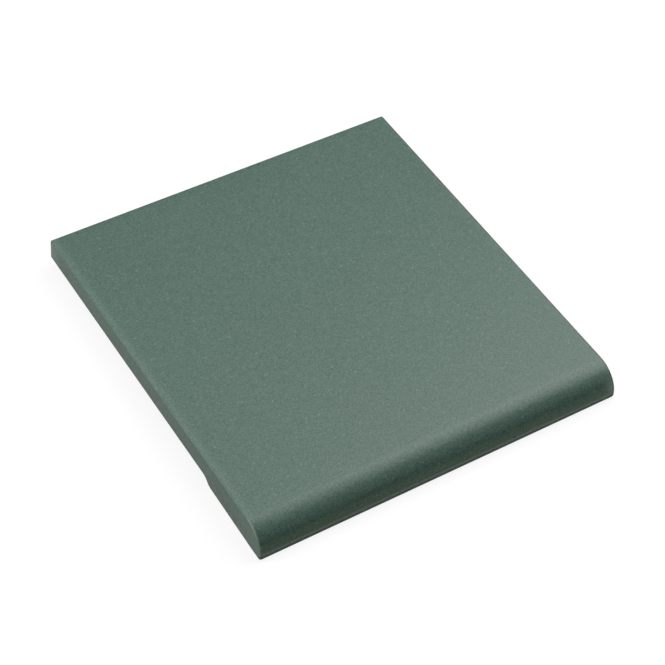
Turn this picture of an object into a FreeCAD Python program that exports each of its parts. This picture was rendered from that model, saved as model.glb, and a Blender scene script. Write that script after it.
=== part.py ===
import FreeCAD, Part
import math
import os
from FreeCAD import Vector

# A glazed wall tile with its front edge rounded over, pressed and fired as one piece.
# Millimetres. X runs along the rounded edge, which faces -Y, and the glazed face looks up.
# The origin is in the plan's middle, on the level that the lip and the ribs stand on.

# Plan
tile_width = 98.0        # along the rounded edge, where the side walls are widest
face_depth = 98.0        # flat face, from the back edge to the start of the rounding

# Height of the front edge, and of the plate behind it
tile_height = 8.1        # glazed face above the floor
plate_thickness = 5.8    # plate behind the foot
land_height = 0.4        # upright strip between the nose and the lip
lip_radius = 0.85        # rounding under the upright strip

# Foot under the nose
foot_depth = 23.4        # from the front to the heel
heel_rise = 0.7          # how far the foot's base climbs from the lip to the heel
heel_angle = 40.0        # slope behind the heel, in degrees
heel_radius = 2.4        # rounding at both ends of that slope

# Pressed walls and edges
wall_draft = 1.5         # lean of the side and back walls, in degrees
arris_radius = 0.5       # softened edge around the glazed face
corner_radius = 0.6      # upright corners at the back

# Key ribs under the plate
rib_crest = 5.0          # flat width of a rib where it stands on the floor
rib_draft = 20.0         # lean of a rib's flanks, in degrees
rib_gap = 5.0            # least space between two ribs at their roots
rib_inset = 4.0          # from a rib's root to the rim of the plate
rib_root_radius = 0.6    # cove where a rib meets the plate

# Worked out from the sizes above
nose_radius = tile_height - land_height - lip_radius
relief_depth = tile_height - plate_thickness
total_depth = face_depth + nose_radius
front_y = -total_depth / 2
back_y = total_depth / 2
nose_y = front_y + nose_radius
nose_z = tile_height - nose_radius
heel_y = front_y + foot_depth
plate_y = heel_y + (relief_depth - heel_rise) / math.tan(math.radians(heel_angle))
wall_lean = math.tan(math.radians(wall_draft))
rib_flare = relief_depth * math.tan(math.radians(rib_draft))

# Working values
overrun = 10.0           # how far the uncut blank and the cutting tools reach past the tile
round_share = 0.45       # most of a wall or slope that one rounding may take up
tolerance = 0.001


def line(start, end):
    """Straight edge in the side view between two (y, z) points."""
    return Part.LineSegment(Vector(0, *start), Vector(0, *end)).toShape()


def arc(centre, radius, start_angle, end_angle):
    """Arc in the side view around a (y, z) centre, with angles in degrees from +Y."""
    def point(angle):
        turn = math.radians(angle)
        return Vector(0, centre[0] + radius * math.cos(turn), centre[1] + radius * math.sin(turn))
    middle_angle = (start_angle + end_angle) / 2
    return Part.Arc(point(start_angle), point(middle_angle), point(end_angle)).toShape()


def run_along_x(edges):
    """Solid with the side view given by the edges, longer than the tile at both ends."""
    length = tile_width + 2 * overrun
    solid = Part.Face(Part.Wire(edges)).extrude(Vector(length, 0, 0))
    solid.translate(Vector(-length / 2, 0, 0))
    return solid


def tapered_block(low, high, z_low, z_high):
    """Block between two rectangles, each given as (x_min, x_max, y_min, y_max)."""
    block = Part.makeWedge(
        low[0], z_low, -low[3], -high[3], high[0],
        low[1], z_high, -low[2], -high[2], high[1],
    )
    block.rotate(Vector(0, 0, 0), Vector(1, 0, 0), 90)
    return block


def nose_blank():
    """Flat face and quarter-round nose over an upright front, not yet trimmed underneath."""
    rear_y = back_y + overrun
    return run_along_x([
        line((rear_y, tile_height), (nose_y, tile_height)),
        arc((nose_y, nose_z), nose_radius, 90, 180),
        line((front_y, nose_z), (front_y, -overrun)),
        line((front_y, -overrun), (rear_y, -overrun)),
        line((rear_y, -overrun), (rear_y, tile_height)),
    ])


def picked(shape, wanted):
    """Edges of a shape whose bounding box meets a condition."""
    return [edge for edge in shape.Edges if wanted(edge.BoundBox)]


def die_space():
    """Room inside the die: leaning side and back walls with rounded back corners."""
    def level(z):
        half_width = tile_width / 2 - z * wall_lean
        back = back_y - (z - relief_depth) * wall_lean
        return (-half_width, half_width, front_y - overrun, back)

    def back_corner(box):
        return box.YMin > 0 and box.ZLength > tile_height

    space = tapered_block(level(-overrun), level(tile_height), -overrun, tile_height)
    return space.makeFillet(corner_radius, picked(space, back_corner))


def soften_arris(blank):
    """Round the edge around the glazed face, over both ends of the nose and down the front."""
    def on_arris(box):
        across = box.XLength > tile_width / 2
        around_face = box.ZMin > tile_height - tolerance and not (across and box.YMax < 0)
        round_nose_end = box.YMax < nose_y + tolerance and box.ZMax > 0 and not across
        return around_face or round_nose_end

    radius = min(arris_radius, round_share * plate_thickness)
    return blank.makeFillet(radius, picked(blank, on_arris))


def underside():
    """What is cut away below: lip rounding, climbing foot, rounded heel and the plate's relief."""
    lip_y = front_y + lip_radius
    rear_y = back_y + 2 * overrun
    low_z = -2 * overrun
    tool = run_along_x([
        line((front_y, low_z), (front_y, lip_radius)),
        arc((lip_y, lip_radius), lip_radius, 180, 270),
        line((lip_y, 0), (heel_y, heel_rise)),
        line((heel_y, heel_rise), (plate_y, relief_depth)),
        line((plate_y, relief_depth), (rear_y, relief_depth)),
        line((rear_y, relief_depth), (rear_y, low_z)),
        line((rear_y, low_z), (front_y, low_z)),
    ])

    def end_of_slope(box):
        beside_slope = heel_y - tolerance < box.YMin and box.YMax < plate_y + tolerance
        return beside_slope and box.XLength > tile_width

    slope_length = math.hypot(plate_y - heel_y, relief_depth - heel_rise)
    widest_radius = round_share * slope_length / math.tan(math.radians(heel_angle) / 2)
    return tool.makeFillet(min(heel_radius, widest_radius), picked(tool, end_of_slope))


def key_rib(y):
    """One round-ended rib across the back, narrower at the floor than at its root."""
    root_half_width = rib_crest / 2 + rib_flare
    end_x = tile_width / 2 - relief_depth * wall_lean - rib_inset - root_half_width
    crest = (-end_x, end_x, y - rib_crest / 2, y + rib_crest / 2)
    root = (-end_x, end_x, y - root_half_width, y + root_half_width)
    rib = tapered_block(crest, root, 0, relief_depth)
    for x in (-end_x, end_x):
        rib = rib.fuse(Part.makeCone(rib_crest / 2, root_half_width, relief_depth, Vector(x, y, 0)))
    return rib


def rib_places():
    """Places of the ribs along Y: as many as fit behind the heel, evenly spaced."""
    root_half_width = rib_crest / 2 + rib_flare
    first_y = plate_y + rib_gap + root_half_width
    last_y = back_y - rib_inset - root_half_width
    steps = int((last_y - first_y) / (2 * root_half_width + rib_gap))
    pitch = (last_y - first_y) / steps
    return [first_y + number * pitch for number in range(steps + 1)]


def key_the_back(tile):
    """Add the ribs under the plate and a cove round each root."""
    tile = tile.fuse([key_rib(y) for y in rib_places()]).removeSplitter()

    def at_rib_root(box):
        on_plate = box.ZMin > relief_depth - tolerance and box.ZMax < relief_depth + tolerance
        return on_plate and box.YMin > plate_y + rib_gap / 2 and box.YMax < back_y - rib_inset / 2

    radius = min(rib_root_radius, round_share * relief_depth, round_share * rib_gap)
    return tile.makeFillet(radius, picked(tile, at_rib_root))


def bullnose_tile():
    """The whole tile, one fired piece."""
    blank = soften_arris(nose_blank().common(die_space()))
    return key_the_back(blank.cut(underside())).Solids[0]


os.makedirs("parts", exist_ok=True)
bullnose_tile().exportStep("parts/bullnose_tile.step")
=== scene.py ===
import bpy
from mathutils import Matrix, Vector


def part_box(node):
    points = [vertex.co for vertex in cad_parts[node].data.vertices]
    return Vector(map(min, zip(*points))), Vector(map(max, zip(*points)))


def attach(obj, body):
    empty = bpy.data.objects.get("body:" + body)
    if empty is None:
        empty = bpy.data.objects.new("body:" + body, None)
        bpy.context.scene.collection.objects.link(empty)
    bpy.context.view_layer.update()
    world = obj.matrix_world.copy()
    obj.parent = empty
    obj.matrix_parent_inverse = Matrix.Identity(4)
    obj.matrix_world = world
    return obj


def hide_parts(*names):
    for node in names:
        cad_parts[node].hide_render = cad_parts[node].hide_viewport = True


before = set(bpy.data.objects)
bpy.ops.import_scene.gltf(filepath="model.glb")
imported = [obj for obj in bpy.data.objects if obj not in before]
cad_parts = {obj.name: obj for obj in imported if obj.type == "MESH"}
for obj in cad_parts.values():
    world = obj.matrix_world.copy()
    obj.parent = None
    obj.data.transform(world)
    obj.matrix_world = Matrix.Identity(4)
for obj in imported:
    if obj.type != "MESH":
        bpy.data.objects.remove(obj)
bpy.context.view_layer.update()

import math

import bmesh
import bpy
import numpy as np
from mathutils import Matrix, Vector

# A glazed wall tile with one edge rounded over. Metres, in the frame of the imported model:
# X along the rounded edge, which faces -Y, and the glazed face looks up.

MM = 0.001

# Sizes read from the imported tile
tile_low, tile_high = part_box("bullnose_tile")
FRONT_Y = tile_low.y
BACK_Y = tile_high.y
HALF_WIDTH = tile_high.x
HEIGHT = tile_high.z

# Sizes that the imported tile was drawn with
PLATE = 5.8 * MM             # thickness behind the foot
LAND = 0.4 * MM              # upright strip between the nose and the lip
LIP_RADIUS = 0.85 * MM
FOOT_DEPTH = 23.4 * MM
HEEL_RISE = 0.7 * MM
HEEL_SLOPE = math.radians(40)
HEEL_RADIUS = 2.4 * MM
WALL_LEAN = math.tan(math.radians(1.5))
ARRIS = 0.5 * MM             # softened edge round the glazed face
CORNER = 0.6 * MM            # upright corners at the back
RIB_CREST = 5.0 * MM
RIB_LEAN = math.tan(math.radians(20))
RIB_GAP = 5.0 * MM
RIB_INSET = 4.0 * MM
RIB_COVE = 0.6 * MM

# Finer forms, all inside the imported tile
LIP_END = 0.45 * MM          # edge under the two ends of the lip
LIP_FADE = 4.0 * MM          # behind the lip, that edge shrinks to the plain one in this length
END_ROUND = 1.3 * MM         # corner rounded off at the right end of the lip, seen from the front
END_REACH = 2.6 * MM         # how far inwards and backwards the rounded corner reaches
LOWER_EDGE = 0.3 * MM        # edge between the walls and the underside
CREST_EDGE = 0.35 * MM       # worn edge of a rib where it stands on the floor
CUSHION = 0.08 * MM          # how far the glazed face drops at its rim
CUSHION_REACH = 1.3 * MM     # how quickly that drop dies away inwards

# Worked out
RELIEF = HEIGHT - PLATE
NOSE_RADIUS = HEIGHT - LAND - LIP_RADIUS
NOSE_Y = FRONT_Y + NOSE_RADIUS
NOSE_Z = HEIGHT - NOSE_RADIUS
HEEL_Y = FRONT_Y + FOOT_DEPTH
PLATE_Y = HEEL_Y + (RELIEF - HEEL_RISE) / math.tan(HEEL_SLOPE)
RIB_ROOT = RIB_CREST / 2 + RELIEF * RIB_LEAN
RIB_END_X = HALF_WIDTH - RELIEF * WALL_LEAN - RIB_INSET - RIB_ROOT
SIDE_RIM_Z = HEIGHT - ARRIS - CUSHION
LOWER_RIM_Z = RELIEF + LOWER_EDGE

# How finely the surfaces are divided
NOSE_STEPS = 32
FOOT_STEPS = 14
HEEL_STEPS = 24
CELL_STEPS = 8               # from a rib's middle line to the next rim of its cell
CELL_RINGS = 3               # from a rib's root to the rim of its cell
CENTRE_STEPS = 8             # from the tile's middle line to the rounded end of a rib
RIM_STEPS = 7                # from there to a back corner
CORNER_STEPS = 4             # half of a back corner
TURN_STEPS = 8               # a rounded edge
ARC_STEPS = 24               # an arc of a side view
ARC_SKIP = 3                 # a rib's surface takes one in so many points of its arcs
WELD = 0.0005 * MM           # points closer than this are one

# Turn of a rounded edge from its sheet to its wall, and rows of a wall between two such edges
EDGE_TURN = np.linspace(0, math.pi / 2, TURN_STEPS + 1)[:, None]
WALL_SHARES = np.array([0, 0.02, 0.08, 0.2, 0.4, 0.6, 0.8, 0.92, 0.98, 1])[:, None, None]


def wall_x(z):
    """Distance of the side walls from the middle: they lean in as they rise."""
    return HALF_WIDTH - z * WALL_LEAN


def wall_y(z):
    """Place of the back wall: it leans in as it rises between its two rounded edges."""
    return BACK_Y - (np.clip(z, LOWER_RIM_Z, SIDE_RIM_Z) - RELIEF) * WALL_LEAN


def eased(t):
    """Smooth step from 0 to 1: 3 t squared less 2 t cubed, held at 0 and 1 outside."""
    t = np.clip(t, 0, 1)
    return t * t * (3 - 2 * t)


def rounded(points, radii):
    """A line through the points with its inner corners turned into tangent arcs.

    Each arc starts at radius times tan(half the turn) before its corner and turns about the
    centre that lies one radius to the side. Returns the points and the heading at each."""
    points = np.array(points)
    radii = np.array(radii)
    legs = np.diff(points, axis=0)
    heading = np.arctan2(legs[:, 1], legs[:, 0])
    turn = np.diff(heading)
    ahead = np.stack([np.cos(heading[:-1]), np.sin(heading[:-1])], 1)
    start = points[1:-1] - ahead * (radii * np.tan(abs(turn) / 2))[:, None]
    side = np.stack([-ahead[:, 1], ahead[:, 0]], 1) * np.sign(turn)[:, None]
    centre = start + side * radii[:, None]
    share = np.linspace(0, 1, ARC_STEPS + 1)
    at = heading[:-1, None] + turn[:, None] * share
    spokes = -np.sign(turn)[:, None, None] * np.stack([-np.sin(at), np.cos(at)], 2)
    arcs = (centre[:, None] + spokes * radii[:, None, None]).reshape(-1, 2)
    line = np.concatenate([points[:1], arcs, points[-1:]])
    return line, np.concatenate([heading[:1], at.ravel(), heading[-1:]])


def rim_insets(corner, reach):
    """Distances inwards from a rim: even angles round its corner, then ever wider steps, which
    grow as the power 1.5 of their number."""
    arc = corner * (1 - np.tan(np.linspace(math.pi / 4, 0, CORNER_STEPS + 1)))
    further = corner + (reach - corner) * np.linspace(0, 1, RIM_STEPS + 1)[1:] ** 1.5
    return np.concatenate([arc, further])


def rib_lines():
    """Middle lines of the ribs: as many as fit behind the heel, evenly spaced."""
    first = PLATE_Y + RIB_GAP + RIB_ROOT
    last = BACK_Y - RIB_INSET - RIB_ROOT
    steps = int((last - first) / (2 * RIB_ROOT + RIB_GAP))
    return np.linspace(first, last, steps + 1)


def across(half, corner):
    """Lines across the tile from -1 to 1, as shares of the half width."""
    from_rim = (half - rim_insets(corner, half - RIB_END_X)) / half
    inner = np.linspace(RIB_END_X / half, 0, CENTRE_STEPS + 1)[1:]
    right = np.concatenate([from_rim, inner])
    return np.concatenate([-right, right[-2::-1]])


def along(rim, corner):
    """Lines along the tile from the front to the back rim, and where each rib's cell starts.

    The nose is divided by equal angles, the foot, the heel and the ribs' cells by equal steps,
    up to the last rib's middle line. The last of the starts is the back rim."""
    nose = NOSE_Y - NOSE_RADIUS * np.sin(np.linspace(math.pi / 2, 0, NOSE_STEPS + 1))
    bend = HEEL_RADIUS * math.tan(HEEL_SLOPE / 2)
    ribs = rib_lines()
    halfway = (ribs[1:] + ribs[:-1]) / 2
    cells = np.stack([ribs[:-1], halfway], 1).ravel()
    stops = [NOSE_Y, HEEL_Y - bend, PLATE_Y + bend, *cells, ribs[-1]]
    steps = [FOOT_STEPS, HEEL_STEPS] + [CELL_STEPS] * (len(cells) + 1)
    runs = [np.linspace(start, end, count + 1)[1:]
            for start, end, count in zip(stops, stops[1:], steps)]
    to_rim = rim - rim_insets(corner, rim - ribs[-1])[-2::-1]
    lines = np.concatenate([nose, *runs, to_rim])
    cell_starts = NOSE_STEPS + FOOT_STEPS + HEEL_STEPS + 2 * CELL_STEPS * np.arange(len(ribs))
    return lines, np.append(cell_starts, len(lines) - 1)


def plan_grid(shares, lines, half, corner):
    """Plan of a sheet, its distance from the side rims and its distance from the back rim.

    Each line across is scaled to the half width at its place. In the two back corners, squares
    about the corner's centre become circles: a point is drawn in by its larger offset over
    its distance."""
    x = shares[None, :] * half[:, None]
    y = np.broadcast_to(lines[:, None], x.shape)
    from_side = half[:, None] - abs(x)
    from_back = lines[-1] - y
    p = np.clip((corner - from_side) / corner, 0, None)
    q = np.clip((corner - from_back) / corner, 0, None)
    turned = (p > 0) & (q > 0)
    pull = np.where(turned, np.maximum(p, q) / np.hypot(p, q + ~turned), 1)
    x = np.where(turned, np.sign(x) * (half[:, None] - corner + corner * p * pull), x)
    y = np.where(turned, lines[-1] - corner + corner * q * pull, y)
    return x, y, from_side, from_back


def upper_edge(y):
    """Radius of the edge beside the glazed skin: the arris all along."""
    return np.full_like(y, ARRIS)


def lower_edge(y):
    """Radius of the edge under a side wall: the arris's in front, the lip's below it, then small."""
    behind = y - FRONT_Y - LIP_RADIUS
    front = ARRIS + (LIP_END - ARRIS) * eased(1 + behind / LIP_RADIUS)
    rear = LOWER_EDGE + (LIP_END - LOWER_EDGE) * eased(1 - behind / LIP_FADE)
    return np.where(behind < 0, front, rear)


def skin_line(lines):
    """Side view of the glazed skin: quarter circle, then level. Returns z and the normal."""
    sine = np.clip((NOSE_Y - lines) / NOSE_RADIUS, 0, 1)
    cosine = np.sqrt(1 - sine ** 2)
    return NOSE_Z + NOSE_RADIUS * cosine, np.stack([-sine, cosine], 1)


def under_line(lines):
    """Side view of the underside: lip, climbing foot, heel and plate. Returns z and the normal."""
    climb = HEEL_RISE / (HEEL_Y - FRONT_Y - LIP_RADIUS)
    line, heading = rounded(
        [(FRONT_Y, NOSE_Z), (FRONT_Y, -climb * LIP_RADIUS), (HEEL_Y, HEEL_RISE),
         (PLATE_Y, RELIEF), (BACK_Y, RELIEF)],
        [LIP_RADIUS, HEEL_RADIUS, HEEL_RADIUS])
    line, heading = line[1:], heading[1:]
    z = np.interp(lines, line[:, 0], line[:, 1])
    at = np.interp(lines, line[:, 0], heading)
    return z, np.stack([np.sin(at), -np.cos(at)], 1)


def rim_share(from_side, from_back):
    """Share of the drop at the rim: it dies away as exp(-distance / reach) from each side."""
    side = np.exp(-from_side / CUSHION_REACH)
    back = np.exp(-from_back / CUSHION_REACH)
    return side + back - side * back


class Sheet:
    """Glazed skin or underside, with the rounded edges that lead from it to the walls.

    It is made of lines across the tile. For each of them, y, z and normal give the side view,
    and radius is that of the rounded edge at both ends. Near its rim the sheet lies lower, along
    the normal, by a share of its drop."""

    def __init__(self, side_view, edge_radius, back_radius, rim_z, drop):
        self.corner = CORNER - back_radius
        self.drop = drop
        self.y, self.cell_starts = along(wall_y(rim_z) - back_radius, self.corner)
        self.z, self.normal = side_view(self.y)
        self.radius = edge_radius(self.y)
        half = wall_x(self.z - self.normal[:, 1] * drop) - self.radius
        shares = across(half[-1], self.corner)
        x, y, from_side, from_back = plan_grid(shares, self.y, half, self.corner)
        depth = drop * rim_share(from_side, from_back)
        y = y - self.normal[:, :1] * depth
        z = self.z[:, None] - self.normal[:, 1:] * depth
        self.points = np.stack([x, y, z], 2)

    def side_edge(self, sign):
        """Rounded edge to a side wall, from the front to the start of the back corner.

        It lies radius (1 - cos turn) under the rim and radius (1 - sin turn) inside the wall."""
        kept = self.y <= self.y[-1] - self.corner + WELD
        radius = self.radius[kept]
        depth = radius * (1 - np.cos(EDGE_TURN)) + self.drop
        y = self.y[kept] - self.normal[kept, 0] * depth
        z = self.z[kept] - self.normal[kept, 1] * depth
        return np.stack([sign * (wall_x(z) - radius * (1 - np.sin(EDGE_TURN))), y, z], 2)

    def back_edge(self):
        """Rounded edge to the back wall, with both back corners.

        A row at height z and inset a follows the plan: quarter circles of radius corner - a
        about the corners' centres, joined by a straight run."""
        depth = self.radius[-1] * (1 - np.cos(EDGE_TURN)) + self.drop
        z = self.z[-1] - self.normal[-1, 1] * depth
        radius = CORNER - self.radius[-1] * (1 - np.sin(EDGE_TURN))
        angle = np.linspace(math.pi / 2, 0, 2 * CORNER_STEPS + 1)
        right_x = wall_x(z) - CORNER + radius * np.sin(angle)
        centre_y = wall_y(z) - CORNER
        corner_y = centre_y + radius * np.cos(angle)
        stations = self.points[-1, CORNER_STEPS + 1:-CORNER_STEPS - 1, 0]
        run = np.broadcast_to(stations, (len(z), len(stations)))
        run_y = np.broadcast_to(centre_y + radius, run.shape)
        x = np.concatenate([-right_x, run, right_x[:, ::-1]], 1)
        y = np.concatenate([corner_y, run_y, corner_y[:, ::-1]], 1)
        return np.stack([x, y, np.broadcast_to(z, x.shape)], 2)


def ruled(upper, lower):
    """Straight lines between two rows of points, closer together near both ends."""
    return upper * (1 - WALL_SHARES) + lower * WALL_SHARES


def wall(top, bottom):
    """A wall between the two rounded edges that end it: both of them, and lines ruled between."""
    return np.concatenate([top, ruled(top[-1], bottom[-1])[1:-1], bottom[::-1]])


def rib_cell(rim_x, rim_y, rib_y):
    """A rib and the plate round it, out to the rim of its cell.

    Each ray runs from the nearest point of the rib's middle line to a point of the rim. Its
    height follows the rib's section: level crest, leaning flank, cove, level plate."""
    foot_x = np.clip(rim_x, -RIB_END_X, RIB_END_X)
    reach = np.hypot(rim_x - foot_x, rim_y - rib_y)
    section, _ = rounded(
        [(0, 0), (RIB_CREST / 2, 0), (RIB_ROOT, RELIEF), (2 * RIB_ROOT, RELIEF)],
        [CREST_EDGE, RIB_COVE])
    arcs = section[1:-1, 0]
    rings = np.concatenate([[0, arcs[0] / 2], arcs[::ARC_SKIP], arcs[-1:]])
    levels = np.interp(rings, section[:, 0], section[:, 1])
    share = np.linspace(0, 1, CELL_RINGS + 1)[1:, None]
    outer = rings[-1] + (reach - rings[-1]) * share
    distance = np.concatenate([np.repeat(rings[:, None], len(reach), 1), outer])
    level = np.concatenate([levels, np.full(CELL_RINGS, RELIEF)])
    ray = distance / reach
    x = foot_x + (rim_x - foot_x) * ray
    y = rib_y + (rim_y - rib_y) * ray
    return np.stack([x, y, np.broadcast_to(level[:, None], x.shape)], 2)


def lip_end_rounded(points):
    """Points drawn in at the right end of the lip by R less the root of R squared less
    (R - z) squared, fading inwards and backwards. The left end stays sharp."""
    x, y, z = np.moveaxis(points, -1, 0)
    low = np.clip(END_ROUND - z, 0, END_ROUND)
    inset = END_ROUND - np.sqrt(END_ROUND ** 2 - low ** 2)
    inset = inset * eased(1 - (HALF_WIDTH - x) / END_REACH)
    inset = inset * eased(1 - (y - FRONT_Y - LIP_RADIUS) / END_REACH)
    return np.stack([x - inset, y, z], -1)


def tile_patches():
    """All surfaces of the tile: glazed skin, foot, ribbed plate, front strip and walls."""
    skin = Sheet(skin_line, upper_edge, ARRIS, SIDE_RIM_Z, CUSHION)
    under = Sheet(under_line, lower_edge, LOWER_EDGE, LOWER_RIM_Z, 0)
    face, base, cell_starts = skin.points, under.points, under.cell_starts
    patches = [face, base[:cell_starts[0] + 1]]
    for rib, start, end in zip(rib_lines(), cell_starts, cell_starts[1:]):
        block = base[start:end + 1]
        loop = np.concatenate([block[0], block[1:, -1], block[-1, -2::-1], block[-2::-1, 0]])
        patches.append(rib_cell(loop[:, 0], loop[:, 1], rib))
    patches.append(ruled(face[0], base[0]))
    for sign in (-1, 1):
        side = wall(skin.side_edge(sign), under.side_edge(sign))
        patches.append(side)
        patches.append(ruled(side[:TURN_STEPS + 1, 0], side[-1:-TURN_STEPS - 2:-1, 0]))
    patches.append(wall(skin.back_edge(), under.back_edge()))
    return [lip_end_rounded(patch) for patch in patches]


def grid_faces(rows, columns, first):
    """Quads of a grid of points that is stored row by row."""
    index = first + np.arange(rows * columns).reshape(rows, columns)
    return np.stack([index[:-1, :-1], index[:-1, 1:], index[1:, 1:], index[1:, :-1]], 2).reshape(-1, 4)


def joined_mesh(name, patches):
    """One closed mesh from grids of points that share their borders."""
    points = np.concatenate([patch.reshape(-1, 3) for patch in patches])
    firsts = np.cumsum([0] + [patch.shape[0] * patch.shape[1] for patch in patches])
    faces = np.concatenate([grid_faces(*patch.shape[:2], first)
                            for patch, first in zip(patches, firsts)])
    mesh = bpy.data.meshes.new(name)
    mesh.from_pydata(points.tolist(), [], faces.tolist())
    work = bmesh.new()
    work.from_mesh(mesh)
    bmesh.ops.remove_doubles(work, verts=work.verts, dist=WELD)
    bmesh.ops.recalc_face_normals(work, faces=work.faces)
    work.to_mesh(mesh)
    work.free()
    mesh.shade_smooth()
    return mesh


# The unglazed body begins just down the walls and above the lip
GLAZE_DOWN_WALL = 0.55 * MM  # how far below the skin the glaze ends on the walls
GLAZE_END_Z = 1.55 * MM      # height at which it ends over the lip


def mark_distances(mesh):
    """Vertex attributes, in metres, worked out from each vertex's place.

    depth: distance under the glazed skin.
    past_glaze: that depth less the glaze's reach down the walls, or the distance below the
    glaze's end at the lip where that is more.
    from_left, from_right, from_back: distances from the walls."""
    count = len(mesh.vertices)
    places = np.empty(count * 3)
    mesh.vertices.foreach_get("co", places)
    x, y, z = places.reshape(-1, 3).T
    ahead = np.clip(NOSE_Y - y, 0, None)
    above = np.clip(z - NOSE_Z, 0, None)
    depth = NOSE_RADIUS - np.hypot(ahead, above)
    past_glaze = np.maximum(depth - GLAZE_DOWN_WALL, GLAZE_END_Z - z)
    distances = {"depth": depth, "past_glaze": past_glaze, "from_left": wall_x(z) + x,
                 "from_right": wall_x(z) - x, "from_back": wall_y(z) - y}
    for name, values in distances.items():
        mesh.attributes.new(name, "FLOAT", "POINT").data.foreach_set("value", values)


DOT_CORE = 0.4               # share of a dot's radius in which it is full


class Nodes:
    """Fills a node tree. All its methods but node return an output of what they make."""

    def __init__(self, tree):
        self.tree = tree
        tree.nodes.clear()

    def node(self, kind, inputs, **settings):
        """New node. Inputs holds the value or the link of each input, by its name or number."""
        made = self.tree.nodes.new(kind)
        for key, value in settings.items():
            setattr(made, key, value)
        for key, value in inputs.items():
            if isinstance(value, bpy.types.NodeSocket):
                self.tree.links.new(value, made.inputs[key])
            else:
                made.inputs[key].default_value = value
        return made

    def place(self):
        """Object coordinates."""
        return self.node("ShaderNodeTexCoord", {}).outputs["Object"]

    def along_axis(self, name):
        """Object coordinate along X, Y or Z."""
        return self.node("ShaderNodeSeparateXYZ", {0: self.place()}).outputs[name]

    def attribute(self, name):
        """Vertex attribute of the mesh."""
        return self.node("ShaderNodeAttribute", {}, attribute_name=name).outputs["Fac"]

    def math(self, operation, *values):
        return self.node("ShaderNodeMath", dict(enumerate(values)), operation=operation).outputs[0]

    def total(self, *values):
        result = values[0]
        for value in values[1:]:
            result = self.math("ADD", result, value)
        return result

    def product(self, *values):
        result = values[0]
        for value in values[1:]:
            result = self.math("MULTIPLY", result, value)
        return result

    def ramp(self, value, start, end, low=0.0, high=1.0, shape="SMOOTHSTEP"):
        """Step from low at start to high at end. The end may lie below the start."""
        if start > end:
            start, end, low, high = end, start, high, low
        made = self.node("ShaderNodeMapRange", {
            "Value": value, "From Min": start, "From Max": end, "To Min": low, "To Max": high,
        }, interpolation_type=shape)
        return made.outputs["Result"]

    def band(self, value, rise, fall):
        """1 from the end of its rise to the start of its fall, 0 before and after both."""
        return self.product(self.ramp(value, *rise), self.ramp(value, *fall[::-1]))

    def noise(self, size, detail, density=(1.0, 1.0, 1.0)):
        """Noise about 0, whose lumps are about the given size, longer where density is less than 1."""
        place = self.node("ShaderNodeVectorMath", {0: self.place(), 1: density}, operation="MULTIPLY")
        made = self.node("ShaderNodeTexNoise", {
            "Vector": place.outputs[0], "Scale": 1 / size, "Detail": detail})
        return self.math("SUBTRACT", made.outputs["Fac"], 0.5)

    def dots(self, size, radius):
        """1 in round dots strewn through cells of the given size, 0 outside their radius."""
        made = self.node("ShaderNodeTexVoronoi", {"Vector": self.place(), "Scale": 1 / size})
        return self.ramp(made.outputs["Distance"], radius / size, DOT_CORE * radius / size)

    def blend(self, share, first, second):
        """Number between first and second."""
        return self.node("ShaderNodeMix", {0: share, 2: first, 3: second}).outputs[0]

    def mix(self, share, first, second):
        """Colour between first and second."""
        first, second = [(*colour, 1.0) if isinstance(colour, tuple) else colour
                         for colour in (first, second)]
        return self.node("ShaderNodeMix", {0: share, 6: first, 7: second}, data_type="RGBA").outputs[2]

    def shifted(self, colour, direction, amount):
        """Colour plus amount times direction."""
        made = self.node("ShaderNodeVectorMath", {0: amount, 1: direction, 2: colour},
                         operation="MULTIPLY_ADD")
        return made.outputs[0]

    def tinted(self, colour, change):
        """Colour made lighter or darker by 1 plus the change."""
        made = self.node("ShaderNodeVectorMath", {0: colour, "Scale": self.total(1.0, change)},
                         operation="SCALE")
        return made.outputs[0]

    def effects(self, *rows):
        """Sums of what patterns do. Each row holds a pattern and its strengths: one for each sum."""
        patterns, *columns = zip(*rows)
        return [self.total(*[self.product(pattern, strength)
                             for pattern, strength in zip(patterns, column) if strength])
                for column in columns]

    def by_ray(self, scattered, seen, mirrored):
        """One of three numbers: for scattered light, for the camera's rays or for mirrored ones.

        Rays that passed through something count as mirrored."""
        path = self.node("ShaderNodeLightPath", {}).outputs
        number = self.blend(path["Is Camera Ray"], scattered, seen)
        number = self.blend(path["Is Glossy Ray"], number, mirrored)
        return self.blend(path["Is Transmission Ray"], number, mirrored)


def new_material(name):
    """Material with an empty tree, and the Nodes that fill it."""
    material = bpy.data.materials.new(name)
    material.use_nodes = True
    return material, Nodes(material.node_tree)


# Colours, written as linear values
GLAZE_GREEN = (0.0488, 0.1065, 0.0785)
GLAZE_THIN_AND_SHEEN = (0.080, 0.142, 0.110)       # beside the side rims of the face: partly thin glaze, partly a painted sheen of the light from the left
GLAZE_EDGE_HIGHLIGHT = (0.240, 0.310, 0.245)       # painted highlights: down the nose's left end and on the bead at the lip, and a painted reflection at the nose's right end
GLAZE_SHADE_TINT = (0.050, 0.122, 0.064)     # painted shade colour: greener low on the nose, where it lies in shade
GLAZE_ARRIS_SHADE = (0.040, 0.058, 0.050)       # painted shade along the right and back arris, which turn away from the light
FRIT = (0.85, 1.00, 0.88)                # direction in which grains make the glaze paler or darker
BODY_GREEN = (0.128, 0.190, 0.150)       # body next to the glaze
BODY_GREY = (0.136, 0.181, 0.151)
KILN_WASH = (0.300, 0.310, 0.290)        # chalky coat on the crests of the ribs

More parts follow.
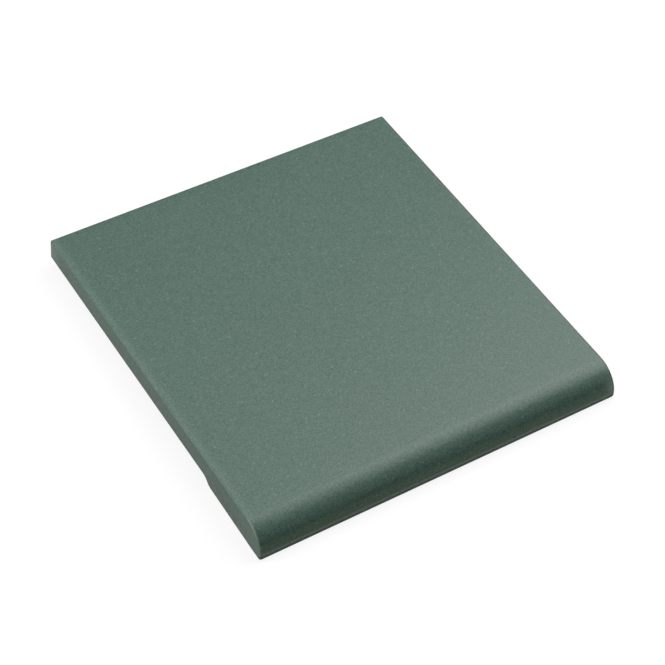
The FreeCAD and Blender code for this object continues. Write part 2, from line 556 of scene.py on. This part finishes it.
# Where the glaze changes: each pair is where a change begins and where it is complete
ON_NOSE_Y = (NOSE_Y + 1.0 * MM, NOSE_Y - 3.0 * MM)     # from the face onto the nose
THIN_AND_SHEEN_LEFT = (3.4 * MM, 0.4 * MM)         # distance from the left wall: thin glaze and a painted sheen of the light from the left
THIN_AND_SHEEN_RIGHT = (2.4 * MM, 0.4 * MM)        # distance from the right wall: thin glaze and a fainter painted sheen
ROUGH_LEFT = (0.7 * MM, 0.4 * MM)        # distance from the left wall
END_REFLECTION_X = (4.5 * MM, 0.7 * MM)       # painted reflection in a pale patch at the nose's right end: distance from the wall
END_REFLECTION_Z = (7.0 * MM, 4.0 * MM)
SHADE_TINT_Z = (4.8 * MM, 3.4 * MM)          # painted shade colour, greener below
BEAD_HIGHLIGHT_Z = (2.5 * MM, 1.9 * MM)            # painted highlight on a bead above the glaze's end at the lip

# Lines in the glaze, each with its rise and its fall
END_HIGHLIGHT_LINE = ((0.01 * MM, 0.05 * MM), (0.30 * MM, 0.45 * MM))     # painted highlight down the nose's left end
ARRIS_SHADE_LINE = ((0.04 * MM, 0.12 * MM), (0.39 * MM, 0.65 * MM))    # painted shade, from the right and back walls
RIDGE = ((-0.40 * MM, -0.12 * MM), (-0.08 * MM, 0.05 * MM))     # just before the glaze ends

# Where the body shows and where it changes
BARE = (-0.06 * MM, 0.08 * MM)           # distance past the end of the glaze
GREY_DEPTH = (0.8 * MM, 4.5 * MM)        # depth under the skin
DRAGGED_Z = (2.4 * MM, 3.4 * MM)         # drag marks above
BACK_CORNER_HIGHLIGHT = (7.0 * MM, 0.2 * MM)       # painted highlight towards the back corners: distance from the walls
FRONT_END_Y = (NOSE_Y + 14 * MM, FRONT_Y)              # paler towards the front
WASH_Z = (0.5 * MM, 0.15 * MM)           # coated below
WASH_Y = (PLATE_Y, PLATE_Y + 1.0 * MM)   # and behind, so not on the foot
WASH_LEFT = (-0.12, 0.08)                # level of the noise that leaves the coat on

# Surface
GLOSS = 0.52                             # specular level of glaze and body
GLAZE_ROUGHNESS = 0.375
BODY_ROUGHNESS = 0.78
RIDGE_HEIGHT = 0.03                      # in millimetres, as all heights of a finish
GLAZE_HEIGHT = 0.04                      # glaze above the body
DRAG_DENSITY = (1.0, 1.0, 0.12)          # drag marks are about eight times as long as wide

# How fully a change shows where it is complete
# Shares of the rims' thin glaze and painted sheen, the painted reflection and highlight on the nose,
# and the painted shade along the arris
THIN_AND_SHEEN_RIGHT_SHARE = 0.5
END_REFLECTION_SHARE = 0.75
BEAD_HIGHLIGHT_SHARE = 0.82
ARRIS_SHADE_SHARE = 0.95
WASH_SHARE = 0.85
SMALL_PATCH_SHARE = 0.1                  # what the small patches add to the noise of the coat
SMALL_PATCH_LEVEL = -0.03                # level of their own noise above which they do


def glaze_tone(finish):
    """Colour of the glaze before its grain, and the mask of the painted shade along the arris.

    Paler beside the side rims of the face: partly thin glaze, partly a painted sheen of the light from
    the left. Painted highlights down the left end of the nose and on the bead above the lip, and a
    painted reflection in a patch at the nose's right end. Greener low on the nose, the painted colour
    of the shade there. Painted shade along the right and back arris."""
    from_left = finish.attribute("from_left")
    from_right = finish.attribute("from_right")
    from_rim = finish.math("MINIMUM", from_right, finish.attribute("from_back"))
    height = finish.along_axis("Z")
    on_nose = finish.ramp(finish.along_axis("Y"), *ON_NOSE_Y)
    on_face = finish.math("SUBTRACT", 1.0, on_nose)
    # Paler beside the side rims: partly thin glaze, partly a painted sheen of the light from the left,
    # half as strong on the right
    thin_and_sheen_left = finish.ramp(from_left, *THIN_AND_SHEEN_LEFT)
    thin_and_sheen_right = finish.ramp(from_right, *THIN_AND_SHEEN_RIGHT, 0.0, THIN_AND_SHEEN_RIGHT_SHARE)
    thin_and_sheen = finish.total(
        finish.product(thin_and_sheen_left, thin_and_sheen_left), finish.product(thin_and_sheen_right, thin_and_sheen_right))
    # Painted shade colour: greener low on the nose, where it lies in shade
    shade_tint = finish.ramp(height, *SHADE_TINT_Z)
    # Painted highlights down the nose's left end and on the bead above the lip, and a painted
    # reflection in a patch at its right end
    near_end = finish.ramp(from_right, *END_REFLECTION_X)
    patch = finish.product(near_end, near_end, finish.ramp(height, *END_REFLECTION_Z, 0.0, END_REFLECTION_SHARE))
    bead_highlight = finish.ramp(height, *BEAD_HIGHLIGHT_Z, 0.0, BEAD_HIGHLIGHT_SHARE)
    ends = finish.math("MAXIMUM", finish.band(from_left, *END_HIGHLIGHT_LINE), patch)
    painted_highlight = finish.math("MAXIMUM", ends, bead_highlight)
    # Painted shade along the right and back arris, which turn away from the light; the glaze is also
    # rougher there
    arris_shade = finish.product(finish.band(from_rim, *ARRIS_SHADE_LINE), ARRIS_SHADE_SHARE)
    colour = finish.mix(finish.product(thin_and_sheen, on_face), GLAZE_GREEN, GLAZE_THIN_AND_SHEEN)
    colour = finish.mix(finish.product(shade_tint, on_nose), colour, GLAZE_SHADE_TINT)
    colour = finish.mix(finish.product(painted_highlight, on_nose), colour, GLAZE_EDGE_HIGHLIGHT)
    return finish.mix(arris_shade, colour, GLAZE_ARRIS_SHADE), arris_shade


def glaze(finish):
    """Satin green glaze: clouded, mottled, grained, strewn with pale and dark dots, and rippled.

    Returns its colour, its roughness and its height in millimetres."""
    colour, arris_shade = glaze_tone(finish)
    clouds = finish.noise(16 * MM, 2.0)
    mottle = finish.noise(1.1 * MM, 2.0)
    grain = finish.noise(0.5 * MM, 1.0)
    fine_grain = finish.noise(0.30 * MM, 0.0)
    ripples = finish.noise(1.5 * MM, 1.0)
    pale_grains = finish.dots(1.3 * MM, 0.27 * MM)
    pale_dots = finish.dots(2.6 * MM, 0.36 * MM)
    dark_dots = finish.dots(1.5 * MM, 0.25 * MM)
    rough_rim = finish.ramp(finish.attribute("from_left"), *ROUGH_LEFT)
    # Each row: what it does to the tint, along the frit, to the roughness and to the height
    tint, frit, roughness, height = finish.effects(
        (clouds, 0.10, 0.0, 0.06, 0.0),
        (mottle, 0.0, 0.046, 0.10, 0.0),
        (grain, 0.0, 0.095, 0.0, 0.014),
        (fine_grain, 0.0, 0.110, 0.0, 0.0),
        (ripples, 0.0, 0.0, 0.0, 0.014),
        (pale_grains, 0.0, 0.032, 0.0, 0.003),
        (pale_dots, 0.0, 0.065, 0.0, 0.0),
        (dark_dots, 0.0, -0.026, 0.0, 0.0),
        (arris_shade, 0.0, 0.0, 0.15, 0.0),
        (rough_rim, 0.0, 0.0, 0.12, 0.0))
    colour = finish.shifted(finish.tinted(colour, tint), FRIT, frit)
    return colour, finish.total(GLAZE_ROUGHNESS, roughness), height


def kiln_wash(finish):
    """Chalky coat on the crests of the ribs, rubbed off in large patches with small ones in them."""
    large_patches = finish.noise(2.4 * MM, 4.0)
    small_patches = finish.math("GREATER_THAN", finish.noise(1.1 * MM, 4.0), SMALL_PATCH_LEVEL)
    patches = finish.total(large_patches, finish.product(small_patches, SMALL_PATCH_SHARE))
    return finish.product(
        finish.ramp(finish.along_axis("Z"), *WASH_Z), finish.ramp(finish.along_axis("Y"), *WASH_Y),
        finish.ramp(patches, *WASH_LEFT))


def fired_body(finish):
    """Dense grey-green body: mottle and fine grain, pits, drag marks up the walls, paler towards
    the front, with a painted highlight towards the back corners and a chalky coat on the ribs.

    Returns its colour, its roughness and its height in millimetres."""
    from_side = finish.math("MINIMUM", finish.attribute("from_left"), finish.attribute("from_right"))
    # Painted highlight towards the back corners, where they catch the light
    near_side = finish.ramp(from_side, *BACK_CORNER_HIGHLIGHT)
    near_back = finish.ramp(finish.attribute("from_back"), *BACK_CORNER_HIGHLIGHT)
    front_end = finish.ramp(finish.along_axis("Y"), *FRONT_END_Y)
    drag = finish.product(
        finish.noise(0.5 * MM, 2.0, DRAG_DENSITY), finish.ramp(finish.along_axis("Z"), *DRAGGED_Z))
    clouds = finish.noise(9 * MM, 3.0)
    mottle = finish.noise(0.8 * MM, 2.0)
    grain = finish.noise(0.35 * MM, 2.0)
    pits = finish.dots(1.4 * MM, 0.15 * MM)
    wash = kiln_wash(finish)
    # Each row: what it does to the tint, to the roughness and to the height
    tint, roughness, height = finish.effects(
        (clouds, 0.20, 0.0, 0.0),
        (mottle, 1.0, 0.0, 0.0),
        (grain, 0.22, 0.15, 0.020),
        (drag, 0.20, 0.0, 0.016),
        (pits, -0.22, 0.0, -0.030),
        (front_end, 0.08, 0.0, 0.0),
        (finish.product(near_back, near_side), 0.36, 0.0, 0.0),
        (wash, 0.0, 0.12, 0.020))
    colour = finish.mix(finish.ramp(finish.attribute("depth"), *GREY_DEPTH), BODY_GREEN, BODY_GREY)
    colour = finish.mix(finish.product(wash, WASH_SHARE), finish.tinted(colour, tint), KILN_WASH)
    return colour, finish.total(BODY_ROUGHNESS, roughness), height


def glazed_ceramic():
    """Glaze that ends in a slightly raised, wavy line just down the walls and at the lip."""
    material, finish = new_material("satin_glaze_on_body")
    waves = finish.product(finish.noise(4.0 * MM, 3.0), 0.30 * MM)
    frays = finish.product(finish.noise(0.5 * MM, 2.0), 0.10 * MM)
    past = finish.total(finish.attribute("past_glaze"), waves, frays)
    bare = finish.ramp(past, *BARE)
    glaze_colour, glaze_roughness, glaze_height = glaze(finish)
    body_colour, body_roughness, body_height = fired_body(finish)
    height = finish.total(
        finish.blend(bare, glaze_height, body_height),
        finish.product(finish.band(past, *RIDGE), RIDGE_HEIGHT),
        finish.product(finish.math("SUBTRACT", 1.0, bare), GLAZE_HEIGHT))
    bump = finish.node("ShaderNodeBump", {"Distance": MM, "Height": height})
    shader = finish.node("ShaderNodeBsdfPrincipled", {
        "Base Color": finish.mix(bare, glaze_colour, body_colour),
        "Roughness": finish.blend(bare, glaze_roughness, body_roughness),
        "Specular IOR Level": GLOSS,
        "Normal": bump.outputs[0],
    })
    finish.node("ShaderNodeOutputMaterial", {"Surface": shader.outputs[0]})
    return material


def add_object(name, data):
    """New object in the scene, at the origin and unturned."""
    made = bpy.data.objects.new(name, data)
    bpy.context.scene.collection.objects.link(made)
    return made


def make_tile():
    """The tile as one closed surface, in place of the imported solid."""
    mesh = joined_mesh("glazed_tile", tile_patches())
    mark_distances(mesh)
    mesh.materials.append(glazed_ceramic())
    tile = add_object("glazed_tile", mesh)
    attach(tile, "root")
    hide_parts("bullnose_tile")


def outward(azimuth, elevation):
    """Unit vector towards an azimuth and an elevation in degrees. Azimuth 0 is the front, -Y."""
    azimuth, elevation = math.radians(azimuth), math.radians(elevation)
    return Vector((math.sin(azimuth) * math.cos(elevation),
                   -math.cos(azimuth) * math.cos(elevation), math.sin(elevation)))


# Camera, from the outline of the tile in the photograph
CAMERA_AZIMUTH = -34.46
CAMERA_ELEVATION = 47.81
CAMERA_ROLL = math.radians(4.11)
CAMERA_DISTANCE = 480.4 * MM
CAMERA_AIM = Vector((0.956, -1.446, -0.591)) * MM
CAMERA_SENSOR = 36.0         # width in millimetres
CAMERA_LENS = 106.1          # in millimetres too
CAMERA_CLIP = 10 * MM


def aim_camera():
    """Camera that looks at its aim from an azimuth and elevation, rolled about its own axis."""
    back = outward(CAMERA_AZIMUTH, CAMERA_ELEVATION)
    level = Vector((0, 0, 1)).cross(back).normalized()
    upright = back.cross(level)
    right = level * math.cos(CAMERA_ROLL) + upright * math.sin(CAMERA_ROLL)
    up = upright * math.cos(CAMERA_ROLL) - level * math.sin(CAMERA_ROLL)
    data = bpy.data.cameras.new("camera")
    data.lens = CAMERA_LENS
    data.sensor_width = CAMERA_SENSOR
    data.clip_start = CAMERA_CLIP
    camera = add_object("camera", data)
    turned = Matrix((right, up, back)).transposed().to_4x4()
    camera.matrix_world = Matrix.Translation(CAMERA_AIM + back * CAMERA_DISTANCE) @ turned
    bpy.context.scene.camera = camera


# Lamps: azimuth and elevation in degrees, width in metres, and level, which is how bright a
# white surface that faces the lamp would be
LAMPS = {
    "right": (92.8, 44.5, 0.77, 0.91),
    "back": (160, 69.2, 0.67, 0.34),
    "left": (244.6, 28.9, 0.35, 0.57),
}
LAMP_DISTANCE = 0.8


def add_lamp(name, azimuth, elevation, width, level):
    """Square lamp that faces the tile. Its power is level times (pi times distance) squared."""
    data = bpy.data.lights.new(name, "AREA")
    data.shape = "SQUARE"
    data.size = width
    data.energy = level * (math.pi * LAMP_DISTANCE) ** 2
    towards = outward(azimuth, elevation)
    facing = towards.to_track_quat("Z", "Y").to_matrix().to_4x4()
    add_object(name, data).matrix_world = Matrix.Translation(towards * LAMP_DISTANCE) @ facing


FLOOR_SIZE = 20.0
FLOOR_BOUNCE = 0.40          # how much light its paint throws back onto the tile
FLOOR_SEEN = (0.16, 0.35)    # how pale its paint is to the camera and in reflections
FLOOR_GLOW = (0.87, 0.30)    # added to that, so that it looks white
STUDIO_MIRRORED = 0.63       # how bright the surroundings are in reflections
HORIZON_MIRRORED = 0.10      # and how bright they are close to the horizon
HORIZON_TOP = (0.22, 0.34)   # sines of the heights between which the one passes into the other


def lay_floor():
    """Pale floor that looks white and keeps the tile's soft shadow."""
    half = FLOOR_SIZE / 2
    mesh = bpy.data.meshes.new("floor")
    mesh.from_pydata([(-half, -half, 0), (half, -half, 0), (half, half, 0), (-half, half, 0)], [],
                     [(0, 1, 2, 3)])
    material, finish = new_material("pale_floor")
    paint = finish.node("ShaderNodeBsdfDiffuse", {"Color": finish.by_ray(FLOOR_BOUNCE, *FLOOR_SEEN)})
    glow = finish.node("ShaderNodeEmission", {"Strength": finish.by_ray(0.0, *FLOOR_GLOW)})
    both = finish.node("ShaderNodeAddShader", {0: paint.outputs[0], 1: glow.outputs[0]})
    finish.node("ShaderNodeOutputMaterial", {"Surface": both.outputs[0]})
    mesh.materials.append(material)
    add_object("floor", mesh)


def light_world():
    """Surroundings that look white to the camera, pale in reflections, and give no other light.

    Reflections see them darker close to the horizon, as past the edge of a studio table."""
    world = bpy.data.worlds.new("studio")
    bpy.context.scene.world = world
    world.use_nodes = True
    sky = Nodes(world.node_tree)
    mirrored = sky.ramp(
        sky.along_axis("Z"), *HORIZON_TOP, HORIZON_MIRRORED, STUDIO_MIRRORED, shape="LINEAR")
    background = sky.node("ShaderNodeBackground", {
        "Color": (1, 1, 1, 1), "Strength": sky.by_ray(0.0, 1.0, mirrored)})
    sky.node("ShaderNodeOutputWorld", {"Surface": background.outputs[0]})


aim_camera()
make_tile()
lay_floor()
light_world()
for lamp_name, lamp_place in LAMPS.items():
    add_lamp(lamp_name, *lamp_place)
bpy.context.scene.view_settings.view_transform = "Standard"
